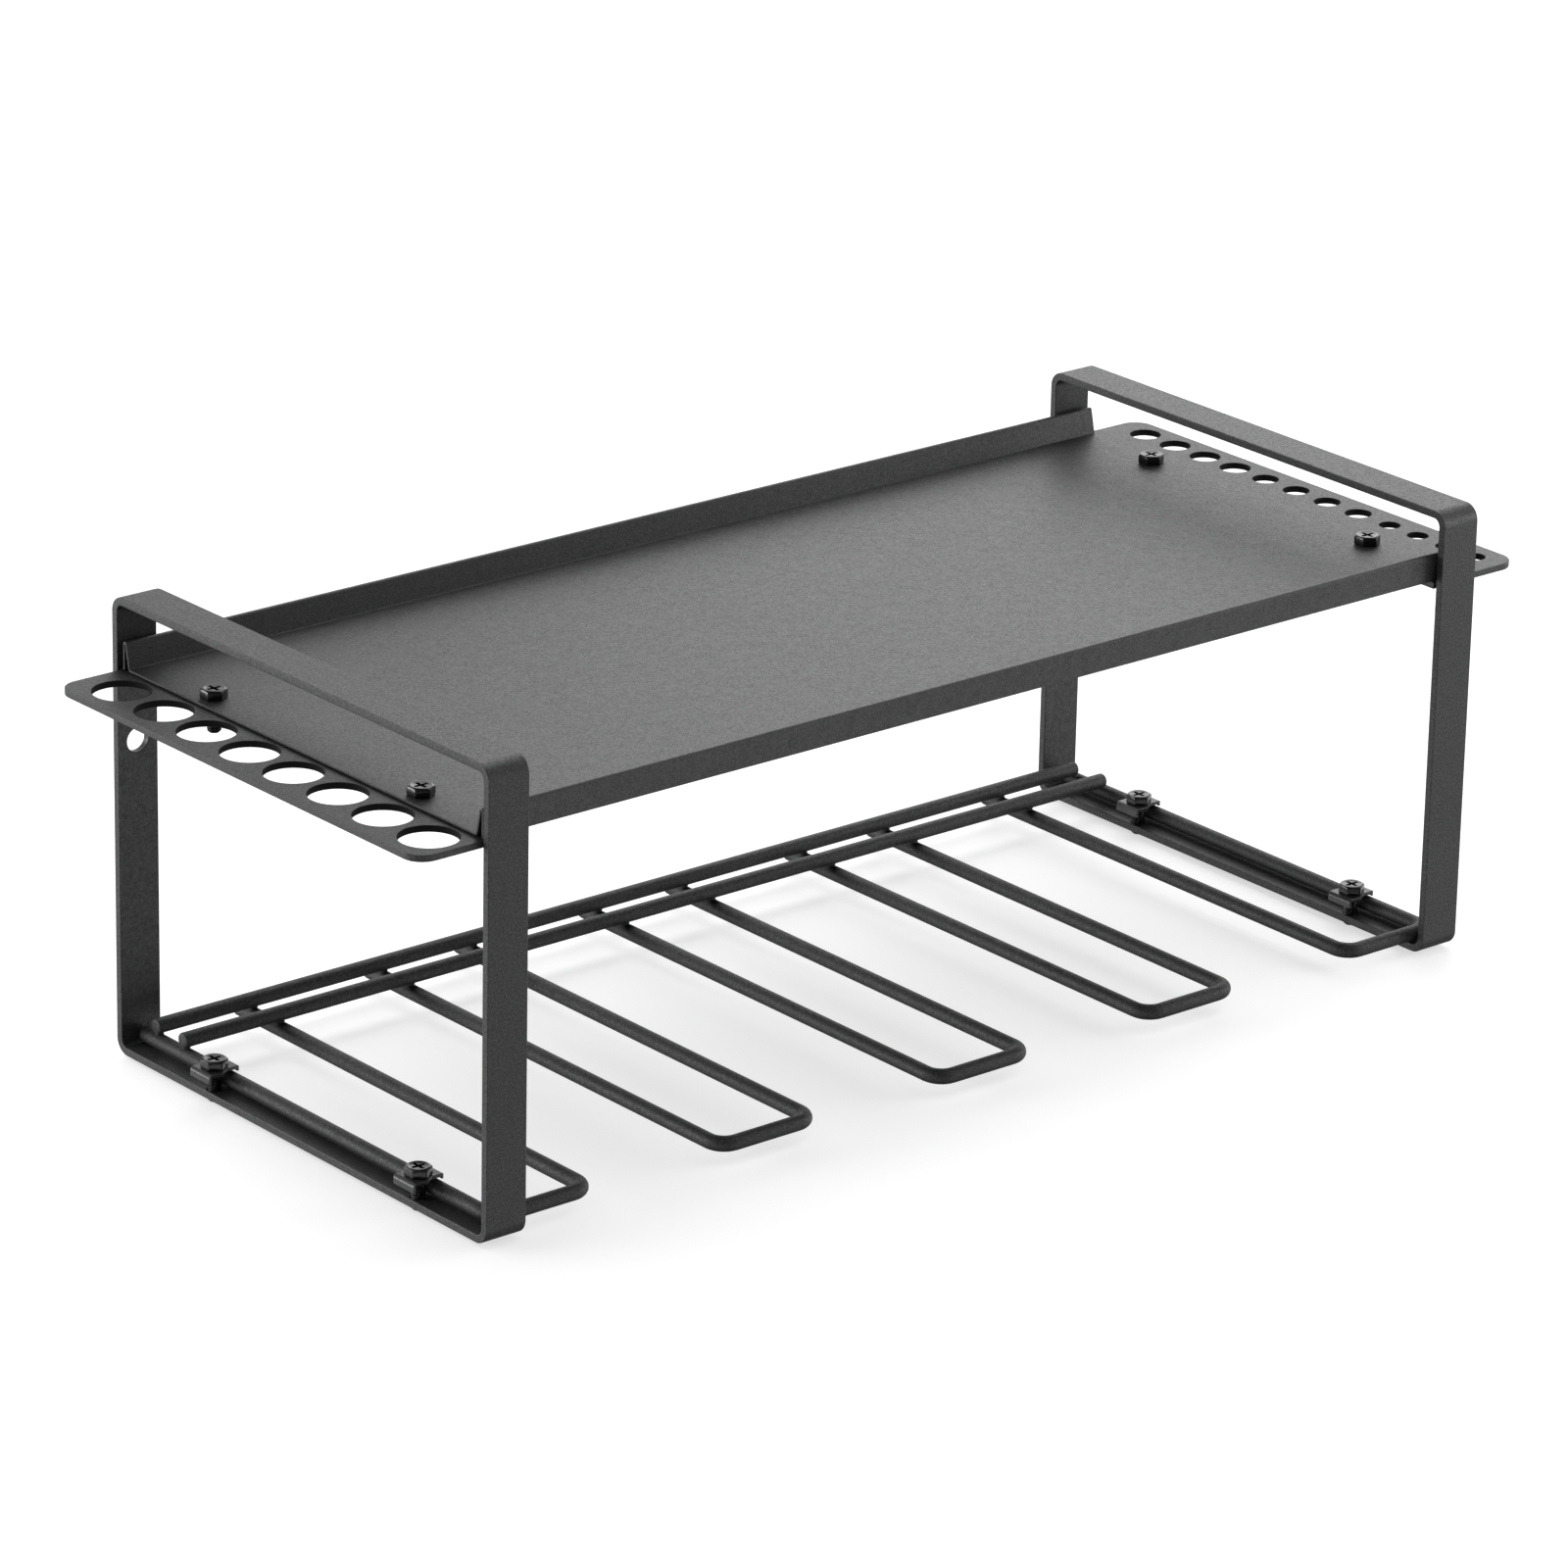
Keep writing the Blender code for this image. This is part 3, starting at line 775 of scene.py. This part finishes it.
def plate_welds(side_name):
    """Beads above and below each end of a tool plate, along the inside of the hoop's legs."""
    plate_low, plate_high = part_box(f"{side_name}_tool_plate")
    hoop_low, hoop_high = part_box(f"{side_name}_hoop_frame")
    beads = []
    start_x, end_x = hoop_low.x + WELD_INSET, hoop_high.x - WELD_INSET
    for end_y in (hoop_low.y + BAR_THICK, hoop_high.y - BAR_THICK):
        y = end_y - math.copysign(WELD_PROUD * WELD_RADIUS, end_y)
        for z in (plate_low.z + WELD_RAISE, plate_high.z - WELD_DROP):
            beads.append(weld_bead((start_x, y, z), (end_x, y, z), WELD_RADIUS))
    dress(joined(f"{side_name}_plate_welds", beads), "bar_coat")


def nugget(centre, size):
    """A small uneven lump, where two crossing wires have fused."""
    shape = bmesh.new()
    bmesh.ops.create_icosphere(shape, subdivisions=3, radius=1)
    for vertex in shape.verts:
        bulge = noise.noise(vertex.co * 1.7 + Vector(centre) * 300)
        swell = 1 + NUGGET_UNEVENNESS * bulge
        reach = [axis * swell * along for axis, along in zip(vertex.co, size)]
        vertex.co = Vector(centre) + Vector(reach)
    mesh = bpy.data.meshes.new("nugget")
    shape.to_mesh(mesh)
    shape.free()
    return mesh


def rail_welds(rail):
    """One nugget wherever a rail crosses a leg of a loop."""
    rail_low, rail_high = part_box(rail)
    lumps = []
    for index in range(1, LOOP_COUNT + 1):
        low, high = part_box(f"hook_loop_{index}")
        radius = (high.z - low.z) / 2
        for x in (low.x + radius, high.x - radius):
            on_rail = min(x, rail_high.x - NUGGET_INSET)
            meeting = (on_rail, (rail_low.y + rail_high.y) / 2, (high.z + rail_low.z) / 2)
            lumps.append(nugget(meeting, NUGGET_SIZE))
    dress(joined(f"{rail}_welds", lumps), "wire_coat")


# Camera, floor and light.


def camera():
    data = bpy.data.cameras.new("camera")
    data.sensor_width = 36
    data.lens = CAMERA_LENS
    data.clip_start = 0.05
    data.clip_end = 60
    made = link("camera", data)
    back = Vector(
        (
            math.sin(CAMERA_AZIMUTH) * math.cos(CAMERA_ELEVATION),
            -math.cos(CAMERA_AZIMUTH) * math.cos(CAMERA_ELEVATION),
            math.sin(CAMERA_ELEVATION),
        )
    )
    turn = (-back).to_track_quat("-Z", "Y").to_matrix().to_4x4()
    roll = Matrix.Rotation(CAMERA_ROLL, 4, "Z")
    made.matrix_world = Matrix.Translation(CAMERA_PLACE) @ turn @ roll
    bpy.context.scene.camera = made


def floor():
    shape = bmesh.new()
    bmesh.ops.create_grid(shape, x_segments=8, y_segments=8, size=FLOOR_HALF_WIDTH)
    mesh = bpy.data.meshes.new("floor")
    shape.to_mesh(mesh)
    shape.free()
    made = link("floor", mesh)
    mesh.materials.append(pale_floor())
    made.visible_diffuse = False
    made.visible_glossy = False


def soft_box(name, place, size, power):
    data = bpy.data.lights.new(name, "AREA")
    data.shape = "RECTANGLE"
    data.size, data.size_y = size
    data.energy = power
    made = link(name, data)
    made.location = place
    made.visible_camera = False
    made.rotation_mode = "QUATERNION"
    made.rotation_quaternion = (-Vector(place)).to_track_quat("-Z", "Y")


def studio():
    """A white sweep: bright behind the rack and just below the horizon, and dim elsewhere."""
    world = bpy.data.worlds.new("studio")
    bpy.context.scene.world = world
    world.use_nodes = True
    tree = world.node_tree
    direction = tree.nodes.new("ShaderNodeTexCoord").outputs["Generated"]

    def graded(axis, stops):
        """A brightness that follows how far a direction points along the axis."""
        along = tree.nodes.new("ShaderNodeVectorMath")
        along.operation = "DOT_PRODUCT"
        along.inputs[1].default_value = Vector(axis).normalized()
        tree.links.new(direction, along.inputs[0])
        scale = tree.nodes.new("ShaderNodeMapRange")
        scale.inputs["From Min"].default_value = -1
        tree.links.new(along.outputs["Value"], scale.inputs["Value"])
        ramp = tree.nodes.new("ShaderNodeValToRGB")
        set_stops(ramp, [((reach + 1) / 2, (value, value, value, 1)) for reach, value in stops])
        tree.links.new(scale.outputs["Result"], ramp.inputs["Fac"])
        return ramp.outputs["Color"]

    both = tree.nodes.new("ShaderNodeMix")
    both.data_type = "RGBA"
    tree.links.new(graded(UPWARD, HORIZON_STOPS), both.inputs["Factor"])
    tree.links.new(graded(UPWARD, SKY_BELOW_STOPS), both.inputs["A"])
    tree.links.new(graded(SKY_AXIS, SKY_STOPS), both.inputs["B"])
    background = tree.nodes["Background"]
    tree.links.new(both.outputs["Result"], background.inputs["Color"])
    for name, place, size, power in SOFT_BOXES:
        soft_box(name, place, size, power)
    bpy.context.scene.view_settings.view_transform = "Standard"


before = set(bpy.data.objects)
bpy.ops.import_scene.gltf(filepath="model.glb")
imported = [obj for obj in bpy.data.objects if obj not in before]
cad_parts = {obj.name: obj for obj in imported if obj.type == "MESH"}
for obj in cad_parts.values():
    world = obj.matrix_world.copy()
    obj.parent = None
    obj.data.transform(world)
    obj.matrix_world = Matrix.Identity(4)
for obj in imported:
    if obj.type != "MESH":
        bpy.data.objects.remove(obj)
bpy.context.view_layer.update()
COATS = {
    "bar_coat": powder_coat("bar_coat", 0.019, 0.50, 0.0008, 0.00009),
    "sheet_coat": powder_coat("sheet_coat", 0.021, 0.50, 0.0006, 0.00007),
    "wire_coat": powder_coat("wire_coat", 0.015, 0.60, 0.0008, 0.00011),
    "clip_coat": powder_coat("clip_coat", 0.018, 0.36, 0.0006, 0.00005),
    "bolt_coat": bolt_black(),
}
camera()
for side_name in ("left", "right"):
    hoop_frame(side_name)
    plate_welds(side_name)
    for row_name in ("rear", "front"):
        clamp_clip(f"{side_name}_{row_name}")
        hex_bolt(f"clip_bolt_{side_name}_{row_name}")
        hex_bolt(f"shelf_bolt_{side_name}_{row_name}")
tool_plate("left", -1, brush_holes())
tool_plate("right", 1, scissor_holes())
shelf_tray()
wire_rack()
for rail_name in ("rear_rack_rail", "front_rack_rail"):
    rail_welds(rail_name)
floor()
studio()
